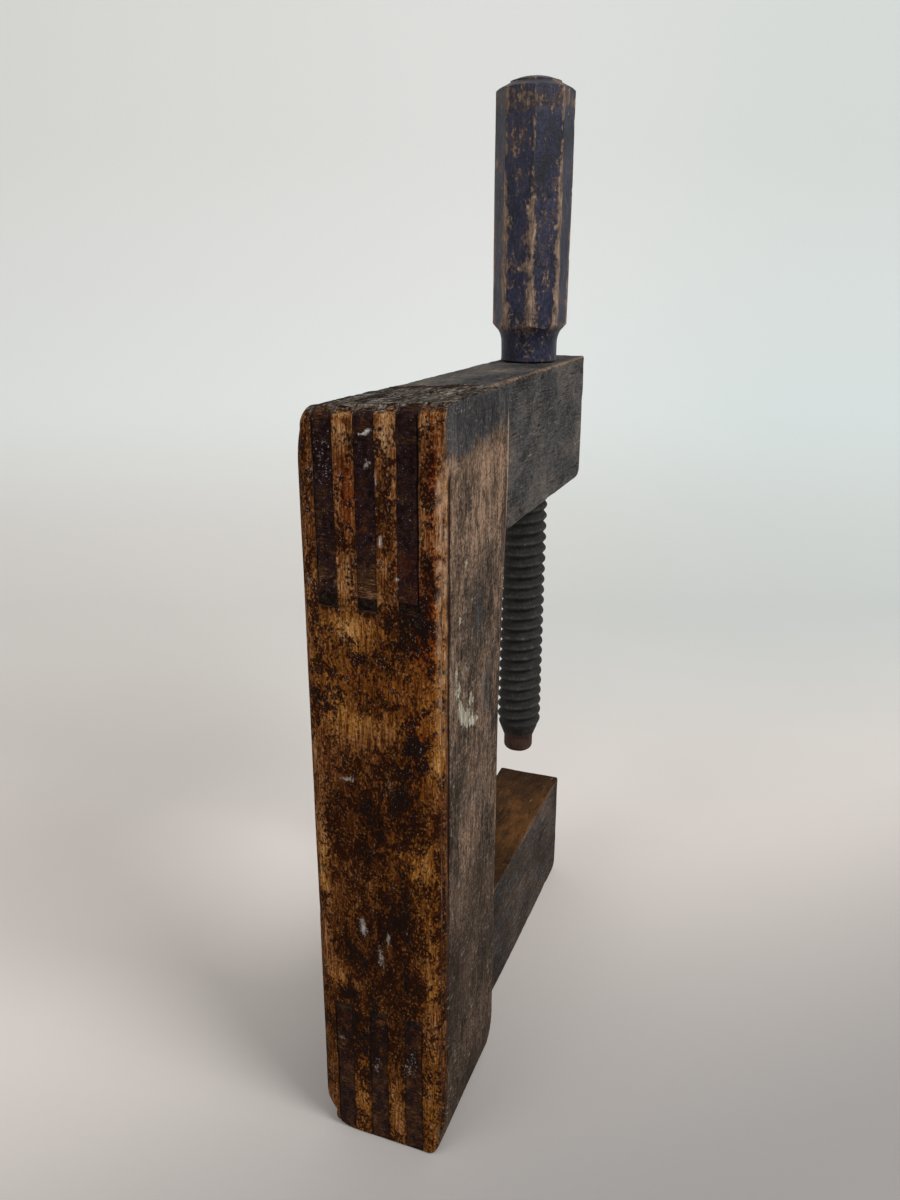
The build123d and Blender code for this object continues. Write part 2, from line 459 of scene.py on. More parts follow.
def build_arm(name, low, high, face_top, number, sunk):
    """One arm as a full beam with its comb cut at the post end; face_top is its top outside the post."""
    low, high = np.array(low, float), np.array(high, float)
    points, faces = timber_skin(low, high, (1.35, 1.2, 1.35))
    outside = rise(points[:, 0], inner - 1.4 * mm, inner + 0.2 * mm)
    radius = chipped_radius(points, 1.5 * mm, number, 1.2 * mm) * outside + 0.5 * mm
    round_arrises(points, low, high, radius)
    press_chamfer(points, (0, 2), (high[0], low[2]), (-arm_end_chamfer, arm_end_chamfer))
    if face_top < high[2]:
        press_chamfer(points, (0, 2), (back, high[2]), (top_wear_length, -top_wear_depth))
    if low[2] < foot_round:
        beyond = np.clip(points[:, 1] - (left - foot_round), 0, foot_round)
        lift = foot_round - np.sqrt(foot_round**2 - beyond**2)
        move_face(points, 2, low[2], lift * (1 - outside), foot_lift_reach)
    points[:, 1] += wander(points) * (1 - outside)
    move_face(points, 1, low[1], (arm_right - low[1]) * outside, arm_side_reach)
    move_face(points, 1, high[1], (comb_left - glue_gap - high[1]) * (1 - outside), arm_side_reach)
    if face_top < high[2]:
        inside_fall = np.minimum(sloping_top(points) - high[2], 0)
        lowered = inside_fall + (face_top - high[2] - inside_fall) * outside
        move_face(points, 2, high[2], lowered, top_slope_reach)
    arm = mesh_object(name, points, faces)
    soften(arm, 2)
    wear_surface(arm, low, (high[0], high[1], face_top), 0, number)
    sunk_back_ends(arm, sunk)
    half = slot_width / 2 - glue_gap
    gaps = [
        (first + half, second - half, low[2] - past_face, high[2] + past_face)
        for first, second in zip(slot_middles, slot_middles[1:])
    ]
    cut(arm, saw_cuts(name + "_comb", gaps, inner + glue_gap, number + 20))
    return arm


def build_joint_dirt():
    """Hard black dirt that fills the saw cuts beyond the tenons, just below the post's back."""
    skins = []
    half = slot_width / 2
    for middle in slot_middles:
        for z_low, z_high, sunk in (
            (upper_underside - slot_overcut, upper_underside + 0.6 * mm, 0.9 * mm),
            (lower_arm_top - 0.3 * mm, lower_arm_top + slot_overcut, 0.5 * mm),
        ):
            points, faces = grid_box(
                np.linspace(back + sunk, back + 8 * mm, 8),
                np.linspace(middle - half, middle + half, 24),
                np.linspace(z_low, z_high, 16),
            )
            uneven = noise(points, 1.6, seed + 21) + noise(points, 4, seed + 22)
            points[:, 0] += np.where(points[:, 0] < back + 1 * mm, uneven * sunk / 2, 0)
            points[:, 1] += wander(points)
            skins.append((points, faces))
    dirt = joined("joint_dirt", skins)
    shade(dirt)
    return dirt


def closed(made):
    """Merges what lies together and caps the open rims."""
    shell = bmesh.new()
    shell.from_mesh(made.data)
    bmesh.ops.remove_doubles(shell, verts=shell.verts, dist=0.02 * mm)
    rims = [edge for edge in shell.edges if edge.is_boundary]
    bmesh.ops.holes_fill(shell, edges=rims, sides=0)
    bmesh.ops.recalc_face_normals(shell, faces=shell.faces)
    shell.to_mesh(made.data)
    shell.free()


def around_axis(name, radius, angle, height, climb=0):
    """A closed shell through rows of points round the screw's axis. Each row joins its own start,
    or in a helix the start of the row that is a climb of rows further on."""
    points = np.stack([axis_x + radius * np.cos(angle), axis_y + radius * np.sin(angle), height], -1)
    number = np.arange(height.size).reshape(height.shape)
    onward = np.roll(number, -1, axis=1)
    if climb:
        onward[:-climb, -1] = number[climb:, 0]
    quads = np.stack([number[:-1], onward[:-1], onward[1:], number[1:]], -1)
    if climb:
        quads = np.concatenate([quads[:-climb].reshape(-1, 4), quads[-climb:, :-1].reshape(-1, 4)])
    made = mesh_object(name, points.reshape(-1, 3), quads.reshape(-1, 4))
    closed(made)
    return made


def build_rod(name, z_low, z_high, crest, limit, around=120, per_turn=12):
    """A right-handed thread as rows that follow the helix, within a radius limit that depends on height."""
    rows = math.ceil((z_high - z_low) / thread_pitch * per_turn) + 2 * per_turn
    row, column = np.meshgrid(np.arange(rows + 1), np.arange(around), indexing="ij")
    start = math.floor(z_low / thread_pitch) - 1
    height = (start + row / per_turn + column / around) * thread_pitch
    height = np.clip(height, z_low, z_high)
    angle = column / around * 2 * math.pi
    turn = (height / thread_pitch - column / around) % 1
    from_crest = 1 - np.abs(turn - 0.5) * 2
    flat = 0.12
    radius = crest - thread_depth * np.clip((from_crest - flat) / (1 - 2 * flat), 0, 1)
    return around_axis(name, np.minimum(radius, limit(height)), angle, height, per_turn)


def build_turned(name, profile, around, radius_at=None):
    """A solid turned about the screw's axis from (radius, height) points; radius_at may reshape each ring."""
    radii, heights = (np.array(side)[:, None] for side in zip(*profile))
    angle = np.broadcast_to(grip_turn + np.arange(around) / around * 2 * math.pi, (len(profile), around))
    radius = np.broadcast_to(radii, angle.shape)
    height = np.broadcast_to(heights, angle.shape)
    if radius_at is not None:
        radius = radius_at(radius, angle, height)
    return around_axis(name, radius, angle, height)


def line_between(start, end, pitch):
    """Points from start up to but not including end, about a pitch apart."""
    count = max(1, round(math.dist(start, end) / pitch))
    return [tuple(np.array(start) + (np.array(end) - np.array(start)) * k / count) for k in range(count)]


def through(corners, pitch):
    """A profile through corner points, divided evenly."""
    profile = []
    for start, end in zip(corners, corners[1:]):
        profile += line_between(start, end, pitch)
    return profile + [corners[-1]]


def build_screw():
    low = screw_low.z
    neck = handle_low.z

    def limit(height):
        taper = tip_radius + (screw_radius - tip_radius) * np.clip((height - low) / taper_length, 0, 1)
        return np.where(height > neck, handle_tenon_radius, taper)

    screw = build_rod("screw_thread", low, screw_high.z, screw_radius, limit)
    corners = [(0, low - 1 * mm), (spigot_socket, low - 1 * mm)]
    corners += [(spigot_socket, low + spigot_length), (0, low + spigot_length)]
    cut(screw, build_turned("spigot_socket", through(corners, 8 * mm), 48))
    points, normals = surface_of(screw)
    out = np.hypot(points[:, 0] - axis_x, points[:, 1] - axis_y)
    depth = hollows(points, 0.10, 5, seed + 30)
    depth += 0.3 * mm * rise(noise(points, 2.2, seed + 31), 0.45, 0.95)
    depth *= 0.3 + 0.7 * rise(out, screw_radius - 1.2 * mm, screw_radius)
    free = (points[:, 2] > low + 0.5 * mm) & (points[:, 2] < neck - 0.5 * mm)
    move_points(screw, points - normals * (depth * free)[:, None])
    shade(screw, 60)
    return screw


def build_shoe():
    low, top = shoe_low.z, screw_low.z - shoe_gap
    radius = (shoe_high.x - shoe_low.x) / 2
    corner = [
        (radius - shoe_rim + shoe_rim * math.sin(turn), low + shoe_rim - shoe_rim * math.cos(turn))
        for turn in np.linspace(0, math.pi / 2, 9)
    ]
    profile = line_between((0, low), corner[0], 1 * mm) + corner[:-1]
    shank = [corner[-1], (radius, top), (spigot_radius, top), (spigot_radius, shoe_high.z), (0, shoe_high.z)]
    profile += through(shank, 1 * mm)
    shoe = build_turned("shoe_tip", profile, 72)
    points, normals = surface_of(shoe)
    shown = points[:, 2] < top - 0.2 * mm
    move_points(shoe, points - normals * (hollows(points, 0.12, 3.5, seed + 33) * shown)[:, None])
    shade(shoe, 50)
    return shoe


def build_handle():
    base = handle_low.z
    button_base = handle_high.z - button_dome - button_step
    blank = grip_corner + 1 * mm
    lower_edge = grip_base + grip_lower_bevel * (blank - flare_radius) / (grip_corner - flare_radius)
    upper_edge = button_base - grip_upper_bevel * (blank - button_radius) / (grip_corner - button_radius)
    neck_top = base + neck_length
    cove = [
        (neck_radius + (flare_radius - neck_radius) * share**cove_power, neck_top + flare_height * share)
        for share in np.linspace(0, 1, 10)
    ]
    dome_radius = (button_radius**2 + button_dome**2) / (2 * button_dome)
    half_angle = math.asin(button_radius / dome_radius)
    dome = [
        (dome_radius * math.sin(turn), handle_high.z - dome_radius * (1 - math.cos(turn)))
        for turn in np.linspace(half_angle, 0, 12)
    ]
    socket_top = screw_high.z + handle_looseness
    socket = handle_tenon_radius + handle_looseness
    eased = 0.5 * mm
    undivided = 1000
    profile = []
    for pitch, corners in (
        (4, [(0, socket_top), (socket, socket_top)]),
        (6, [(socket, socket_top), (socket, base)]),
        (0.8, [(socket, base), (neck_radius - eased, base), (neck_radius, base + eased), cove[0]]),
        (undivided, cove),
        (0.4, [cove[-1], (blank, lower_edge)]),
        (0.9, [(blank, lower_edge), (blank, upper_edge)]),
        (0.4, [(blank, upper_edge), (button_radius, button_base), (button_radius, dome[0][1])]),
    ):
        profile += through(corners, pitch * mm)[:-1]

    def radius_at(radius, angle, height):
        """Turns the grip's rings into an octagon with uneven flats, narrower towards its foot."""
        side = 2 * math.pi / grip_sides
        facet = np.floor((angle - grip_turn) / side)
        within = (angle - grip_turn) % side - side / 2
        flat = grip_corner * math.cos(side / 2)
        planed = np.random.default_rng(seed + 50).uniform(-0.28, 0, grip_sides)
        uneven = planed[facet.astype(int) % grip_sides] * mm
        narrowing = 0.3 * mm * np.clip((grip_base + 60 * mm - height) / (60 * mm), 0, 1)
        octagon = (flat + uneven - narrowing) / np.cos(within) / grip_corner
        # The corners are taken off softly, just below the full width
        sharpness, cap = 200, 0.995
        blend = grip_corner * (octagon ** -sharpness + cap ** -sharpness) ** (-1 / sharpness)
        return np.where(radius > neck_radius * 0.99, np.minimum(radius, blend), radius)

    handle = build_turned("handle_grip", profile + dome, 240, radius_at)
    points, normals = surface_of(handle)
    out = np.hypot(points[:, 0] - axis_x, points[:, 1] - axis_y)
    shown = rise(out, socket, socket + 1 * mm)
    shown = np.maximum(shown, rise(points[:, 2], button_base - 1 * mm, button_base))
    shown *= rise(points[:, 2], base + 0.1 * mm, base + 1.5 * mm)
    depth = hollows(points, 0.10, 11, seed + 51, (1, 1, 2))
    depth += hollows(points, 0.04, 2.2, seed + 52, (1, 1, 3))
    depth += 0.2 * mm * rise(noise(points, 4.5, seed + 53), 0.55, 1)
    move_points(handle, points - normals * (depth * shown)[:, None])
    shade(handle, 32)
    return handle


# Materials

def srgb(red, green, blue):
    """A colour as it looks, in 0 to 255, as the linear colour that a shader takes."""
    linear = [((v / 255 + 0.055) / 1.055) ** 2.4 if v > 10 else v / 255 / 12.92 for v in (red, green, blue)]
    return linear + [1]


class Finish:
    """One material. Its methods add nodes and return the socket that they make. Colours are in 0 to 255."""

    def __init__(self, name):
        self.material = bpy.data.materials.new(name)
        self.material.use_nodes = True
        self.nodes, self.links = self.material.node_tree.nodes, self.material.node_tree.links
        self.nodes.clear()
        self.place = self.node("TexCoord").outputs["Object"]

    def node(self, kind, feeds=(), **settings):
        """Adds a node with its settings, and feeds its inputs from (name or number, value) pairs."""
        made = self.nodes.new("ShaderNode" + kind)
        for name, value in settings.items():
            setattr(made, name, value)
        for name, value in feeds:
            self.feed(made.inputs[name], value)
        return made

    def feed(self, socket, value):
        """Links another node's socket, or sets a plain value."""
        if isinstance(value, bpy.types.NodeSocket):
            self.links.new(value, socket)
        else:
            socket.default_value = srgb(*value) if socket.type == "RGBA" else value

    def math(self, operation, first, second=0.0, clamp=False):
        return self.node("Math", [(0, first), (1, second)], operation=operation, use_clamp=clamp).outputs[0]

    def times(self, first, second):
        return self.math("MULTIPLY", first, second)

    def total(self, *parts, clamp=False):
        """Adds up (value, weight) pairs and plain numbers."""
        result = 0.0
        for part in parts:
            if isinstance(part, tuple):
                feeds = [(0, part[0]), (1, part[1]), (2, result)]
                result = self.node("Math", feeds, operation="MULTIPLY_ADD").outputs[0]
            else:
                result = self.math("ADD", result, part)
        return self.math("ADD", result, 0.0, clamp=True) if clamp else result

    def noise(self, size, stretch=(1, 1, 1), detail=4.0, rough=0.55, shift=0.0, warp=0.0):
        """Noise around 0.5, with features of about a size in millimetres, drawn out by stretch."""
        scale = [1 / (size * mm * s) for s in stretch]
        shifts = (shift, shift * 1.7, shift * 0.6)
        scaled = self.node("Mapping", [("Scale", scale), ("Location", shifts), ("Vector", self.place)])
        feeds = [("Scale", 1), ("Detail", detail), ("Roughness", rough), ("Distortion", warp)]
        return self.node("TexNoise", feeds + [("Vector", scaled.outputs[0])]).outputs["Fac"]

    def step(self, value, low, high):
        """0 below low, 1 above high, smooth between."""
        feeds = [("Value", value), ("From Min", low), ("From Max", high)]
        return self.node("MapRange", feeds, interpolation_type="SMOOTHSTEP").outputs["Result"]

    def line(self, value, level, half_width):
        """1 where a value is at a level, falling to 0 on both sides."""
        away = self.math("ABSOLUTE", self.math("SUBTRACT", value, level))
        return self.step(away, 2 * half_width, half_width / 2)

    def mask(self, name):
        return self.node("Attribute", attribute_name=name).outputs["Fac"]

    def along(self, axis):
        return self.node("SeparateXYZ", [(0, self.place)]).outputs[axis]

    def ramp(self, value, stops):
        """Colours along a value, from (position, colour) stops."""
        made = self.node("ValToRGB", [(0, value)])
        ramp = made.color_ramp
        while len(ramp.elements) < len(stops):
            ramp.elements.new(0.5)
        for element, (position, colour) in zip(ramp.elements, stops):
            element.position, element.color = position, srgb(*colour)
        return made.outputs["Color"]

    def mix(self, share, first, second):
        made = self.node("Mix", [(0, share)], data_type="RGBA")
        colours = [socket for socket in made.inputs if socket.type == "RGBA"]
        self.feed(colours[0], first)
        self.feed(colours[1], second)
        return next(socket for socket in made.outputs if socket.type == "RGBA")

    def cover(self, under, over, share, strength=None):
        """Lays one colour over another, by a share that a strength may reduce."""
        return self.mix(share if strength is None else self.times(share, strength), under, over)

    def bump(self, height, distance, below=None):
        feeds = [("Distance", distance), ("Height", height)]
        return self.node("Bump", feeds + ([] if below is None else [("Normal", below)])).outputs[0]

    def finish(self, colour, roughness, normal, shine):
        feeds = [("Base Color", colour), ("Roughness", roughness), ("Normal", normal),
                 ("Specular IOR Level", shine)]
        self.node("OutputMaterial", [("Surface", self.node("BsdfPrincipled", feeds).outputs[0])])
        return self.material


def timber_finish(name, grain):
    """Old worn wood with its grain along one axis; masks say where each of its states shows."""
    make = Finish(name)

    def drawn(length):
        stretch = [1, 1, 1]
        stretch[grain] = length
        return stretch

    fibre = make.noise(0.5, drawn(14), 4, 0.6)
    streak = make.noise(1.7, drawn(12), 4, 0.6, 8.3)
    clump = make.noise(7, drawn(1.5), 8, 0.72, 7.7, 0.6)
    clot = make.noise(2.2, drawn(1.4), 5, 0.7, 3.1, 0.4)
    cloud = make.noise(28, drawn(1.5), 3, 0.5, 2.9)
    speck = make.noise(1.0, drawn(1.3), 3, 0.6, 12.1)
    grit = make.noise(0.5, detail=2, rough=0.5, shift=9.1)
    # The stain mask also holds painted shadow lines along the post's joint with the arm
    stain, bare, top = make.mask("stain"), make.mask("bare"), make.mask("top")
    # Drying cracks along the grain are where a drawn-out noise crosses its middle
    crack = make.line(make.noise(3.0, drawn(16), 3, 0.55, 4.4, 0.2), 0.5, 0.007)
    crack = make.times(crack, make.step(make.noise(7, drawn(3), 2, 0.5, 6.6), 0.48, 0.56))
    dot = make.step(speck, 0.60, 0.64)
    chip = make.times(make.step(speck, 0.42, 0.37), make.step(clot, 0.44, 0.54))
    # Painted glints: pale specks that stand in for highlights, denser where their mask is higher
    glint = make.step(make.total((grit, 1.0), (make.mask("gloss"), 0.14)), 0.755, 0.785)
    glint = make.times(glint, make.step(clot, 0.50, 0.55))
    redden = make.step(make.total((make.mask("red"), 0.6), (streak, 1.6), -0.66), 0.2, 0.6)

    # Varnished wood: amber where worn, under a ragged brown film and black dirt
    tone = make.total(
        (fibre, 1.6), (streak, 1.5), (clot, 1.6), (clump, 1.6), (bare, 0.3), (cloud, 0.7), -3.1,
    )
    amber = make.ramp(tone, [
        (0.0, (56, 28, 9)), (0.25, (102, 60, 27)), (0.5, (146, 101, 62)), (0.75, (180, 143, 103)),
        (1.0, (212, 184, 150)),
    ])
    golden = make.ramp(tone, [
        (0.0, (58, 28, 6)), (0.3, (104, 61, 21)), (0.6, (150, 99, 43)), (1.0, (206, 162, 102)),
    ])
    below_comb = make.step(make.along("Z"), 270 * mm, 235 * mm)
    golden_share = make.step(make.total((cloud, 2.5), (clump, 1.5), (clot, 1.0), -1.8), 0.3, 0.7)
    amber = make.cover(amber, golden, golden_share, below_comb)
    amber = make.cover(amber, (130, 62, 18), redden, 0.32)
    film = make.total(
        (clump, 5.4), (clot, 4.4), (streak, 1.4), (fibre, 1.2), (speck, 2.2), (cloud, 1.4), (stain, 0.62),
        (bare, -0.60), -7.93,
    )
    brown = make.mix(make.step(clot, 0.38, 0.62), (34, 14, 5), (78, 42, 17))
    brown = make.cover(brown, (78, 26, 8), redden)
    varnished = make.mix(make.times(make.step(film, -0.34, 0.22), 0.86), amber, brown)
    black = make.mix(make.step(speck, 0.36, 0.62), (17, 4, 1), (42, 14, 5))
    varnished = make.cover(varnished, black, make.step(film, 0.14, 0.52), 0.94)
    varnished = make.cover(varnished, (166, 134, 84), chip, 0.25)
    pitch = make.step(make.total((clump, 3.0), (cloud, 2.4), (stain, 0.8), -3.1), 0.15, 0.6)
    pitch = make.times(pitch, make.step(film, 0.2, 0.6))
    varnished = make.cover(varnished, (25, 16, 13), pitch, 0.85)
    tone = make.total((fibre, 0.8), (cloud, 1.8), (clump, 1.6), -1.6)
    calm = make.ramp(tone, [(0.0, (32, 19, 9)), (0.5, (58, 37, 16)), (1.0, (100, 62, 26))])
    varnished = make.cover(varnished, calm, make.mask("calm"))

    # Weathered wood and the soot on it
    tone = make.total(
        (fibre, 1.1), (streak, 0.7), (clot, 0.9), (speck, 1.6), (clump, 1.2), (cloud, 1.2), (bare, 0.42),
        (make.step(fibre, 0.63, 0.67), 0.13), -2.86,
    )
    weathered = make.ramp(tone, [
        (0.0, (28, 24, 21)), (0.25, (47, 40, 35)), (0.5, (74, 62, 53)), (0.75, (108, 87, 71)),
        (1.0, (152, 124, 102)),
    ])
    film = make.total((clump, 3.6), (clot, 2.6), (streak, 1.6), (stain, 1.3), (bare, -0.2), -4.5)
    weathered = make.cover(weathered, (36, 28, 24), make.step(film, 0.0, 0.7), 0.72)
    scuff = make.step(make.noise(1.2, (3, 3, 1), 3, 0.6, 5.7), 0.57, 0.64)
    scuff = make.times(scuff, make.step(clump, 0.46, 0.6))
    weathered = make.cover(weathered, (146, 134, 124), scuff, 0.55)
    tone = make.total(
        (fibre, 1.0), (clump, 0.9), (cloud, 1.3), (speck, 0.8), (clot, 0.6), (bare, 0.4), (stain, -0.3),
        -1.83,
    )
    soot = make.ramp(tone, [
        (0.0, (34, 34, 36)), (0.3, (54, 53, 54)), (0.55, (75, 72, 70)), (0.8, (96, 88, 80)),
        (1.0, (130, 114, 98)),
    ])
    scratch = make.line(make.noise(4, (2.4, 1, 1), 1, 0.5, 2.4, 0.8), 0.5, 0.008)
    scratch = make.times(scratch, make.step(speck, 0.46, 0.58))
    # Pale specks painted on the soot as highlights, beside the real scratches
    fleck = make.times(make.step(grit, 0.58, 0.64), make.step(clot, 0.46, 0.56))
    soot = make.cover(soot, (132, 130, 126), make.total((scratch, 0.4), (fleck, 0.25), clamp=True))
    worn_edge = make.step(make.total((bare, 1.0), (speck, 1.4), (clot, 1.4), -1.4), 0.3, 0.6)
    soot = make.cover(soot, (124, 98, 76), worn_edge, 0.75)
    sooty = make.total((make.mask("soot"), 1.0), (clump, 2.0), (clot, 1.8), (streak, 1.0), -2.4)
    weathered = make.cover(weathered, soot, make.step(sooty, 0.15, 0.85))

    # The rough top, with wavy cracks and pale flecks
    wavy = make.line(make.noise(6, (1, 2.2, 1), 4, 0.6, 3.7, 1.2), 0.5, 0.016)
    groove = make.noise(1.5, (7, 1, 1), 4, 0.6, 5.1, 0.3)
    tone = make.total(
        (groove, 2.0), (speck, 0.8), (clump, 1.5), (cloud, 0.8), (wavy, -0.7), (bare, 0.2), (stain, -0.3),
        -1.98,
    )
    rough_top = make.ramp(tone, [
        (0.0, (14, 10, 8)), (0.3, (45, 37, 32)), (0.5, (77, 69, 62)), (0.7, (102, 94, 86)),
        (1.0, (144, 136, 124)),
    ])
    reddish = make.step(make.total((stain, 1.0), (clump, 2.0), (groove, 1.0), -1.5), 0.3, 0.8)
    rough_top = make.cover(rough_top, (50, 29, 24), reddish, 0.8)
    weathered = make.cover(weathered, rough_top, top)

    # End grain
    rings = make.noise(2.4, (2.0, 2.0, 0.16), 4, 0.62, 2.2, 0.15)
    tone = make.total((rings, 2.3), (clot, 1.2), (speck, 0.9), (bare, 0.36), -1.72)
    worn_ends = make.ramp(tone, [
        (0.0, (22, 12, 8)), (0.3, (42, 25, 16)), (0.55, (68, 44, 28)), (0.8, (96, 66, 44)),
        (1.0, (140, 104, 76)),
    ])
    worn_ends = make.cover(worn_ends, (66, 24, 12), redden, 0.5)
    film = make.total((clump, 5.0), (clot, 3.0), (rings, 1.2), (stain, 0.8), (bare, -0.5), -4.55)
    violet = make.mix(make.step(clot, 0.4, 0.62), (18, 9, 11), (40, 26, 29))
    end_grain = make.mix(make.times(make.step(film, -0.05, 0.3), 0.9), worn_ends, violet)

    colour = make.mix(make.mask("varnish"), weathered, varnished)
    colour = make.cover(colour, end_grain, make.mask("end_grain"))
    colour = make.cover(colour, (22, 8, 4), make.total((dot, 0.4), (crack, 0.8), clamp=True), 0.8)
    # Pale painted glints laid into the colour as highlights
    colour = make.cover(colour, (170, 170, 174), glint, make.mask("gloss"))
    # Pale paint smears, whitest where strongest; the strongest marks on the back include painted glints
    smeared = make.total((make.mask("smear"), 1.1), (speck, 1.4), (clot, 1.6), (streak, 1.6), -2.52)
    smeared = make.step(smeared, 0.2, 0.62)
    paint = make.mix(make.step(fibre, 0.4, 0.62), (112, 105, 92), (196, 190, 170))
    whiter = make.mix(make.step(make.mask("smear"), 0.75, 1.0), (146, 138, 132), (220, 216, 208))
    paint = make.cover(paint, whiter, make.mask("varnish"))
    colour = make.cover(colour, paint, smeared, 0.8)
    # A black crack where the worn chamfer meets the side
    from_back = make.total((make.along("X"), 1.0), (clot, 0.9 * mm), -back - back_chamfer - 0.75 * mm)
    seam = make.times(make.line(from_back, 0.0, 0.5 * mm), make.mask("seam"))
    colour = make.cover(colour, (30, 10, 6), seam, 0.9)
    # A pale line up the throat's right arris: worn, and painted as the highlight on its rounding
    from_inner = make.total((make.along("X"), 1.0), (clot, 0.9 * mm), -inner + 1.0 * mm)
    rubbed = make.times(make.line(from_inner, 0.0, 0.75 * mm), make.mask("throat"))
    colour = make.cover(colour, (146, 122, 100), rubbed, make.step(speck, 0.3, 0.52))

    shine = (make.mask("varnish"), -0.3)
    roughness = make.total(shine, (speck, 0.6), (clot, 0.6), (smeared, 0.1), 0.2, clamp=True)
    relief = make.bump(make.total((fibre, 1.0), (crack, -0.6), (speck, 0.6), (dot, -0.2)), 0.3 * mm)
    relief = make.bump(make.times(rings, make.mask("end_grain")), 0.35 * mm, relief)
    crust = make.total((grit, 0.6), (clot, 1.2), (make.times(wavy, top), -0.8))
    relief = make.bump(make.times(crust, make.mask("crust")), 1.0 * mm, relief)
    return make.finish(colour, roughness, relief, 0.015)


def dirt_finish():
    make = Finish("black_joint_dirt")
    speck = make.noise(0.7, detail=3, rough=0.6)
    lump = make.noise(2.5, detail=3, shift=3.0)
    colour = make.ramp(make.total((speck, 1.4), (lump, 1.4), -0.9), [
        (0.2, (6, 4, 3)), (0.5, (22, 13, 8)), (0.8, (60, 38, 22)),
    ])
    return make.finish(colour, make.total((speck, 0.8), 0.2), make.bump(speck, 0.5 * mm), 0.07)


def screw_finish():
    make = Finish("blackened_screw_wood")
    fine = make.noise(0.9, (1, 1, 9), 4, 0.6)
    mottle = make.noise(7, detail=5, rough=0.65, shift=4.0)
    speck = make.noise(1.2, detail=3, shift=2.0)
    tone = make.total((fine, 0.7), (mottle, 0.9), (make.mask("crest"), 0.22), (speck, 0.5), -0.75)
    colour = make.ramp(tone, [
        (0.0, (16, 16, 16)), (0.35, (34, 33, 32)), (0.6, (54, 52, 48)), (1.0, (112, 100, 86)),
    ])
    tip = make.step(make.total((make.mask("tip"), 1.0), (mottle, 0.6), -0.3), 0.2, 0.7)
    brown = make.ramp(tone, [
        (0.0, (34, 23, 18)), (0.5, (66, 46, 36)), (0.8, (98, 72, 56)), (1.0, (130, 100, 78)),
    ])
    colour = make.cover(colour, brown, tip)
    relief = make.bump(make.total((fine, 0.6), (speck, 0.5)), 0.3 * mm)
    return make.finish(colour, make.total((speck, 0.3), (mottle, 0.4), 0.42), relief, 0.15)


def handle_finish():
    """Dark blue paint, worn through to brown wood along the arrises and in spots."""
    make = Finish("worn_blue_paint")
    fine = make.noise(0.8, (1, 1, 9), 4, 0.6)
    mottle = make.noise(4.5, (1, 1, 1.7), 7, 0.72, 2.0, 0.5)
    blotch = make.noise(14, (1, 1, 1.6), 4, 0.6, 6.0)
    speck = make.noise(1.5, (1, 1, 1.3), 4, 0.7, 4.0)
    pore = make.noise(0.7, detail=2, shift=8.0)
    arris, rubbed = make.mask("arris"), make.mask("rubbed")
    wear = make.total((mottle, 4.2), (speck, 2.6), (blotch, 2.0), (arris, 1.15), (rubbed, 0.6), -4.66)
    bare = make.step(wear, 0.08, 0.44)
    thin = make.step(wear, -0.2, 0.2)
    wood = make.ramp(make.total((fine, 1.4), (mottle, 1.2), (speck, 0.8), (arris, 0.2), -1.3), [
        (0.0, (44, 36, 33)), (0.35, (72, 59, 52)), (0.6, (104, 86, 74)), (1.0, (158, 132, 110)),
    ])
    paint = make.ramp(make.total((speck, 1.3), (blotch, 1.6), (fine, 0.8), (pore, 0.4), -1.6), [
        (0.0, (12, 12, 18)), (0.4, (24, 25, 41)), (0.7, (43, 47, 74)), (1.0, (74, 80, 112)),
    ])
    grime = make.step(make.total((blotch, 2.4), (speck, 1.4), (make.mask("grime"), 0.8), -1.6), 0.3, 0.7)
    paint = make.cover(paint, (36, 29, 30), grime, 0.6)
    paint = make.cover(paint, (62, 49, 46), thin, 0.5)
    colour = make.mix(bare, paint, wood)
    relief = make.bump(make.total((bare, -0.5), (speck, 0.6), (fine, 0.4), (pore, 0.2)), 0.35 * mm)
    roughness = make.total((bare, 0.2), (speck, 0.6), (mottle, 0.3))
    return make.finish(colour, roughness, relief, 0.2)


def room_finish():
    """Matt pale paper with light and shade painted in: darker and warmer on the near floor than up the wall,
    and darker to the right.
    """
    make = Finish("backdrop_paint")
    cloud = make.noise(300, detail=3)
    x, y, z = (make.along(axis) for axis in "XYZ")
    # Painted shade: the near floor is darker, darkest towards the view, and the whole backdrop is darker to
    # the right; it lightens up the bend and the wall
    near = make.mix(cloud, (198, 190, 185), (209, 202, 197))
    near = make.cover(near, (145, 142, 140), make.step(make.total((y, -1.0), (x, -1.0), 0.12), 0.0, 0.4))
    rightward = make.step(y, 0.45, -0.15)
    far = make.mix(rightward, (206, 203, 199), (195, 198, 196))
    paint = make.mix(make.step(make.total((x, 0.934), (y, 0.357)), 0.05, 0.65), near, far)
    bend = make.mix(rightward, (216, 220, 219), (200, 209, 209))
    paint = make.cover(paint, bend, make.step(z, 0.0, 0.2))
    wall = make.mix(rightward, (218, 219, 218), (206, 211, 210))
    paint = make.cover(paint, wall, make.step(z, 0.05, 0.5))
    return make.finish(paint, 0.9, make.bump(make.noise(6, detail=3), 0.1 * mm), 0.1)


def blobs(across, up, marks):
    """Adds up soft elliptical marks (place, place, half size, half size, strength), in millimetres."""
    value = np.zeros(len(across))
    for u, v, half_u, half_v, strength in marks:
        first = (across / mm - u) / half_u
        second = (up / mm - v) / half_v
        value += strength * np.exp(-(first**2 + second**2))
    return value


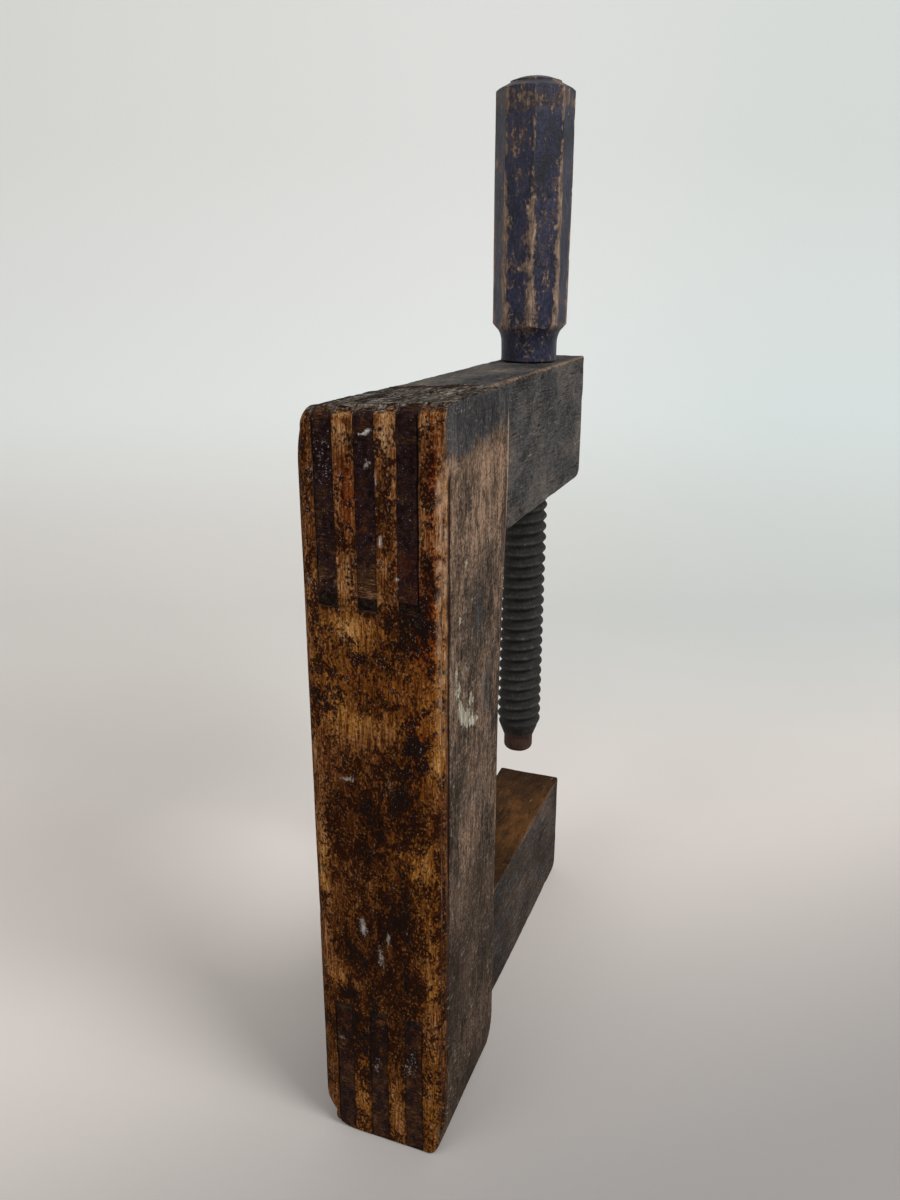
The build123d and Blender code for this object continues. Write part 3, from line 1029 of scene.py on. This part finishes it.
# Marks on the back face, as (Y, Z, half width, half height, strength) in millimetres
back_stains = [
    (1, 166, 17, 13, 0.85), (-15, 172, 6, 11, 0.8), (16, 174, 6, 8, 0.5), (3, 148, 6, 14, 0.6),
    (15, 140, 5, 28, 0.5), (-10, 124, 6, 18, 0.7), (4, 102, 18, 12, 0.8), (-10, 100, 7, 12, 0.6),
    (-16, 198, 6, 7, 0.9), (1, 212, 6, 5, 0.7), (23, 213, 4, 5, 0.6), (-13, 188, 8, 7, 0.5),
    (12, 192, 12, 6, 0.3), (-12, 245, 7, 7, 0.8), (-22, 254, 5, 9, 0.9), (-15, 237, 5, 5, 0.5),
    (4, 252, 4, 3, 0.6), (-8, 259, 3, 3.5, 0.9), (5, 232, 6, 3, 0.7), (-22.5, 230.5, 2.4, 2.6, 0.8),
    (-2, 230, 6, 5, 0.5), (10.5, 274.5, 2.6, 3.4, 0.9), (9, 303, 4, 5, 0.6), (-6, 284, 4, 9, 0.7),
    (-8, 300, 2.4, 9, 0.3), (-24, 303, 2.2, 20, 0.7), (-22.5, 270, 2.4, 8, 0.6), (25.5, 305, 3, 10, 0.5),
    (26, 122, 2.4, 2.4, 0.8), (18, 236, 5, 8, 0.4), (8, 60, 9, 20, 0.5), (-8, 70, 6, 14, 0.55),
    (18, 52, 7, 16, 0.45), (-14, 52, 6, 16, 0.45), (21, 268, 1.6, 6, 0.3), (9, 288, 3, 6, 0.35),
    (0, 80, 22, 8, 0.3), (0, 30, 26, 30, 0.22), (1, 125, 17, 50, 0.2), (-28, 150, 3, 60, 0.35),
    (28, 60, 3, 40, 0.3), (17.3, 252, 5, 3.6, 1.1), (0, 251, 5.5, 3.4, 0.9), (-15, 250, 5.5, 4, 1.2),
    (-19, 245, 6, 6, 0.8), (16, 75, 6, 4, 0.7), (0, 73, 6, 5, 0.7), (-15, 74, 5, 5, 0.7),
    (0, 55, 20, 12, 0.35), (-13, 169, 5, 7, 0.5), (2, 150, 6, 11, 0.4), (-9, 132, 4, 10, 0.5),
    (4, 94, 14, 12, 0.5), (-10, 88, 10, 10, 0.4),
]
back_bare = [
    (9, 318, 4, 7, 0.8), (-7.5, 316, 3.5, 10, 0.9), (8, 243, 10, 7, 0.75), (11.5, 292, 1.4, 10, 0.6),
    (-10, 296, 1, 8, 0.6), (10, 260, 4, 9, 0.5), (-6, 268, 3, 4, 0.5), (-3, 256, 5, 3, 0.5),
    (24, 140, 3.4, 30, 0.75), (-20, 146, 6, 10, 0.6), (-27, 245, 2.4, 60, 0.5), (12, 205, 10, 8, 0.55),
    (-3, 204, 8, 5, 0.5), (-25, 192, 3.5, 7, 0.8), (18, 216, 6, 10, 0.35), (26, 234, 3, 20, 0.35),
    (25, 98, 4, 9, 0.5), (-23, 96, 4, 18, 0.5), (17, 83, 7, 6, 0.5), (-1, 70, 4, 9, 0.4),
    (8.5, 18, 3.5, 14, 0.65), (-7.5, 18, 3.5, 16, 0.6), (-24, 40, 4, 40, 0.4), (-22, 215, 4, 9, 0.4),
    (-22, 320, 4, 5, 0.4), (26, 190, 3, 8, 0.4), (8, 136, 4, 5, 0.3), (-22, 284, 2, 12, 0.3),
]
back_red = [
    (8, 294, 5, 12, 1.0), (-25, 285, 3, 40, 0.8), (-15, 265, 5, 12, 1.0), (-20, 205, 8, 30, 0.5),
    (5, 222, 14, 5, 0.5), (-22, 245, 5, 12, 0.8), (2, 285, 3, 10, 0.5), (22, 200, 5, 20, 0.4),
]
# Paint smears; the two thin strokes at Z 315 to 317 are painted glints
back_smears = [
    (12.5, 179.5, 3.6, 1.2, 0.8), (-6.5, 181, 1.4, 3.4, 0.65), (6.5, 111, 1.9, 5.0, 0.95),
    (-0.6, 99, 1.7, 5.4, 0.8), (-4.5, 108.5, 1.3, 3.4, 0.8), (-0.5, 304.8, 1.3, 1.8, 0.9),
    (-3.6, 300, 0.8, 4.5, 0.65), (-5, 293.5, 1.2, 2.0, 0.6), (1.6, 315.4, 1.8, 0.5, 1.5),
    (-0.6, 316.8, 1.5, 0.45, 1.5), (-4.5, 277.5, 0.8, 2.2, 1.6), (-11, 264, 0.9, 0.9, 1.5),
    (24.5, 259.5, 1.0, 1.2, 0.7), (-14, 46, 4, 8, 0.42), (19, 50, 4, 6, 0.4), (2, 40, 3, 6, 0.36),
]
# Where the painted glints gather most, on the upper left tenon end
back_gloss = [(16.5, 305, 4, 9, 0.5)]

# Brown patches on the upper arm's sides, as (X, Z, half width, half height, strength)
arm_bare = [(-36, 300, 4, 8, 0.5), (-10, 290, 14, 5, 0.2), (30, 300, 12, 12, 0.15), (-10, 262, 30, 4, 0.25)]

# Marks on the post's top, as (X, Y, half width, half height, strength): the first is a painted shadow along
# the step where the arm's top meets the post, the others are stains
top_stains = [(-62, 0, 5, 30, 0.9), (-85, 12, 14, 4, 0.5), (-100, -24, 20, 3, 0.4)]

# Marks on the right side, as (X, Z, half width, half height, strength)
side_bare = [
    (-98, 302, 20, 8, 0.55), (-66, 290, 3, 26, 0.8), (-80, 300, 12, 10, 0.4), (-97, 145, 9, 12, 0.35),
    (-118, 296, 5, 12, 0.3), (-70, 235, 4, 26, 0.4), (-105, 268, 12, 10, 0.15), (-75, 60, 14, 22, 0.2),
]
# Stains, and at X -60 a painted shadow line in the gap between the post's cheek and the arm
side_stains = [
    (-96, 240, 14, 12, 0.35), (-92, 252, 8, 10, 0.3), (-110, 175, 14, 12, 0.4), (-85, 120, 22, 16, 0.35),
    (-110, 90, 14, 22, 0.4), (-80, 205, 10, 12, 0.25), (-95, 20, 30, 18, 0.35), (-60, 280, 1.6, 30, 0.8),
]
side_grey = [
    (-90, 243, 9, 16, 0.6), (-78, 205, 7, 14, 0.55), (-118, 222, 4, 12, 0.35), (-84, 165, 10, 14, 0.3),
]
side_smears = [
    (-113, 218, 3, 5, 0.9), (-110, 208, 4, 5, 1.0), (-104, 203, 5, 3.4, 1.0), (-98, 199, 5, 2.4, 1.0),
    (-93, 197, 3, 1.8, 0.9), (-99, 209, 3, 4, 0.7), (-115, 226, 2, 3, 0.6), (-106, 267, 1.2, 3.0, 0.8),
    (-83, 269, 4, 2.4, 0.6), (-112, 246, 2.4, 2, 0.6), (-88, 212, 2, 2, 0.5), (-120, 160, 2, 3, 0.5),
]


def mask_timber(made, low, high, face_top, is_post):
    """Says where a timber shows varnish, soot, stains and painted shadows, bare wood, red, smears, painted
    glints and highlights, crust or end grain.
    """
    points, normals = surface_of(made)
    x, y, z = points.T
    normal_x, normal_y, normal_z = normals.T
    at_back = fall(x, back + 5 * mm, back + 9 * mm)
    back_face = rise(-normal_x, 0.35, 0.75) * at_back
    top = weathered_top(points, normals)
    box = (low, high) if is_post else ((low[0], arm_right, low[2]), (high[0], arm_left, face_top))
    near = arris_nearness(points, *box, 1.5 * mm)
    ragged = noise(points, 4, seed + 70) + 0.6 * noise(points, 1.8, seed + 71)
    # Stains, and from the top list a painted shadow where the arm's top meets the post
    stain = back_face * blobs(y, z, back_stains) + top * blobs(x, y, top_stains)
    bare = back_face * blobs(y, z, back_bare)
    smear = back_face * blobs(y, z, back_smears)
    calm = end_grain = worn = seam = throat = 0
    if is_post:
        soot_edge = 307 * mm + 3 * mm * noise(points, 9, seed + 72) + (x - back) * 0.06
        side = rise(np.abs(normal_y), 0.5, 0.85)
        soot = np.maximum(side * rise(z, soot_edge - 3 * mm, soot_edge + 3 * mm), top)
        soot += side * blobs(x, z, side_grey)
        stain += side * (0.45 * rise(z, soot_edge, soot_edge + 4 * mm))
        stain += side * 0.6 * fall(z, 80 * mm, 200 * mm)
        # Stains on the side, with a painted shadow line at the cheek's gap to the arm
        stain += side * blobs(x, z, side_stains)
        bare += side * blobs(x, z, side_bare)
        smear += side * (normal_y < 0) * blobs(x, z, side_smears)
        # The worn chamfer up the right arris of the back, the crack beside it, and the throat, where a pale
        # line is painted up its right arris as the highlight on its rounding
        worn = rise(-normal_x, 0.3, 0.6) * rise(-normal_y, 0.3, 0.6)
        worn *= rise(z, 170 * mm, 250 * mm) * fall(y, right + 6 * mm, right + 7 * mm)
        worn *= 0.35 + 0.5 * ragged
        bare += worn
        seam = (normal_y < -0.5) * fall(z, 300 * mm, 306 * mm) * rise(z, 60 * mm, 150 * mm)
        throat = (normal_y < -0.5) * rise(z, 120 * mm, 200 * mm)
        bare += near * (0.35 + 0.3 * ragged) * (1 - top) * (1 - at_back)
    else:
        if low[2] > lower_arm_top:
            soot = 0.9
            bare += (1 - back_face) * (0.06 + blobs(x, z, arm_bare))
            # The tenon ends are blackest near the top
            stain += back_face * 0.55 * rise(z, 268 * mm, 296 * mm)
            bare += back_face * 0.4 * fall(z, 245 * mm, 268 * mm)
        else:
            soot = 0.45
            stain += 0.85 * (1 - back_face)
            calm = rise(normal_z, 0.4, 0.8)
        right_top = (y < arm_right + 3 * mm) & (z > arm_top - 3 * mm)
        bare += near * (0.35 + 0.35 * right_top + 0.4 * ragged) * (x > inner)
        end_grain = back_face * (1 - 0.5 * rise(z, 28 * mm, 46 * mm) * (z < lower_arm_top + 1 * mm))
    # How dense the painted glints are: more higher up, and most on the upper left tenon end
    glossy = 0.3 + 0.3 * rise(z, 150 * mm, 200 * mm) + blobs(y, z, back_gloss)
    set_masks(
        made,
        varnish=np.maximum(back_face * (1 - 0.8 * np.clip(worn, 0, 1)), 0.9 * calm),
        calm=calm, top=top, seam=seam, throat=throat, stain=stain, bare=bare,
        red=back_face * blobs(y, z, back_red), smear=smear, soot=soot, end_grain=end_grain,
        crust=0.6 * top + 0.5 * np.clip(stain, 0, 1) * back_face + 0.15,
        gloss=back_face * glossy,
    )


def mask_handle(handle):
    """Says where the paint is rubbed, along the arrises and at the grip's ends, and where it is grimy."""
    points, _ = surface_of(handle)
    x, y, z = points.T
    angle = np.arctan2(y - axis_y, x - axis_x)
    side = 2 * math.pi / grip_sides
    from_arris = np.abs((angle - grip_turn + side / 2) % side - side / 2) * grip_corner
    on_grip = rise(z, grip_base - 1 * mm, grip_base + 3 * mm)
    rim = np.exp(-((z - grip_base - 3 * mm) / (4 * mm)) ** 2)
    rim += np.exp(-((z - grip_base - grip_length + 2 * mm) / (4 * mm)) ** 2)
    # The arrises are rubbed most below the grip's upper third
    rubbed = fall(z, handle_high.z - 65 * mm, handle_high.z - 35 * mm)
    reach = (0.9 + 1.0 * rubbed) * mm
    set_masks(
        handle,
        arris=on_grip * (0.5 + 0.5 * rubbed) * np.exp(-(from_arris / reach) ** 2),
        rubbed=rim * 0.8,
        grime=rise(z, handle_high.z - 6 * mm, handle_high.z - 3 * mm),
    )


def dress(made, node, body, material):
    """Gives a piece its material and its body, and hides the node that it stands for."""
    made.data.materials.append(material)
    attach(made, body)
    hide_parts(node)


def add_object():
    post = build_post()
    mask_timber(post, post_low, post_high, post_top, True)
    dress(post, "post", "frame", timber_finish("post_wood_finish", 2))

    upper = build_arm("upper_arm_timber", upper_low, upper_high, arm_top, seed + 200, 0.22 * mm)
    bore_radius = screw_radius + 0.2 * mm
    bore_ends = (upper_underside - past_face, arm_top + past_face)
    cut(upper, build_rod("bore_thread", *bore_ends, bore_radius, lambda height: math.inf))
    shade(upper)
    mask_timber(upper, upper_low, upper_high, arm_top, False)
    dress(upper, "upper_arm", "frame", timber_finish("upper_arm_finish", 0))

    lower = build_arm("lower_arm_timber", lower_low, lower_high, lower_arm_top, seed + 300, 0.2 * mm)
    shade(lower)
    mask_timber(lower, lower_low, lower_high, lower_arm_top, False)
    dress(lower, "lower_arm", "frame", timber_finish("lower_arm_finish", 0))

    dirt = build_joint_dirt()
    dirt.data.materials.append(dirt_finish())
    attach(dirt, "frame")

    screw = build_screw()
    x, y, z = surface_of(screw)[0].T
    crest = rise(np.hypot(x - axis_x, y - axis_y), screw_radius - 0.9 * mm, screw_radius - 0.1 * mm)
    set_masks(screw, crest=crest, tip=fall(z, screw_low.z, screw_low.z + 4 * mm))
    turned_wood = screw_finish()
    dress(screw, "screw", "spindle", turned_wood)

    shoe = build_shoe()
    set_masks(shoe, crest=0, tip=1)
    dress(shoe, "screw_shoe", "shoe", turned_wood)

    handle = build_handle()
    mask_handle(handle)
    dress(handle, "handle", "spindle", handle_finish())


# Room, lights and camera

def add_room():
    """A floor that bends up into a wall, square to the view."""
    reach, wall, wall_top, bend = 6.0, 1.15, 2.2, 0.55
    forward = Vector((math.cos(camera_yaw), math.sin(camera_yaw), 0))
    across = Vector((-math.sin(camera_yaw), math.cos(camera_yaw), 0))
    sweep = [(-reach, 0.0), (wall - bend, 0.0)]
    sweep += [
        (wall - bend + bend * math.sin(turn), bend - bend * math.cos(turn))
        for turn in np.linspace(0, math.pi / 2, 24)[1:]
    ]
    sweep.append((wall, wall_top))
    points = [
        forward * along + across * side + Vector((0, 0, up))
        for along, up in sweep
        for side in (-reach, reach)
    ]
    faces = [(2 * k, 2 * k + 2, 2 * k + 3, 2 * k + 1) for k in range(len(sweep) - 1)]
    room = mesh_object("backdrop", points, faces)
    room.data.shade_smooth()
    room.data.materials.append(room_finish())


def add_lamp(name, place, size, power):
    """A soft round lamp that faces the middle of the clamp."""
    lamp = bpy.data.lights.new(name, "AREA")
    lamp.shape, lamp.size, lamp.energy = "DISK", size, power
    made = bpy.data.objects.new(name, lamp)
    made.location = place
    made.rotation_euler = (Vector((0, 0, 0.2)) - Vector(place)).to_track_quat("-Z", "Y").to_euler()
    bpy.context.scene.collection.objects.link(made)


def add_lights():
    add_lamp("key", (-0.45, -1.55, 1.45), 1.1, 36)
    add_lamp("fill", (-1.4, 0.8, 1.3), 1.4, 10)
    world = bpy.data.worlds.new("soft_room")
    world.use_nodes = True
    background = world.node_tree.nodes["Background"]
    background.inputs["Color"].default_value = (1, 0.99, 0.97, 1)
    background.inputs["Strength"].default_value = 0.6
    bpy.context.scene.world = world


def add_camera():
    forward = Vector((
        math.cos(camera_pitch) * math.cos(camera_yaw),
        math.cos(camera_pitch) * math.sin(camera_yaw),
        math.sin(camera_pitch),
    ))
    level = Vector((math.sin(camera_yaw), -math.cos(camera_yaw), 0))
    upright = level.cross(forward)
    side = level * math.cos(camera_roll) + upright * math.sin(camera_roll)
    above = upright * math.cos(camera_roll) - level * math.sin(camera_roll)
    lens = bpy.data.cameras.new("photo_view")
    lens.sensor_fit = "AUTO"
    lens.sensor_width = sensor_long_side
    lens.lens = focal_length
    lens.clip_start, lens.clip_end = 0.01, 20
    camera = bpy.data.objects.new("photo_view", lens)
    turn = Matrix((side, above, -forward)).transposed().to_4x4()
    camera.matrix_world = Matrix.Translation(camera_place) @ turn
    bpy.context.scene.collection.objects.link(camera)
    bpy.context.scene.camera = camera


add_room()
add_lights()
add_camera()
add_object()
bpy.context.scene.view_settings.view_transform = "Standard"
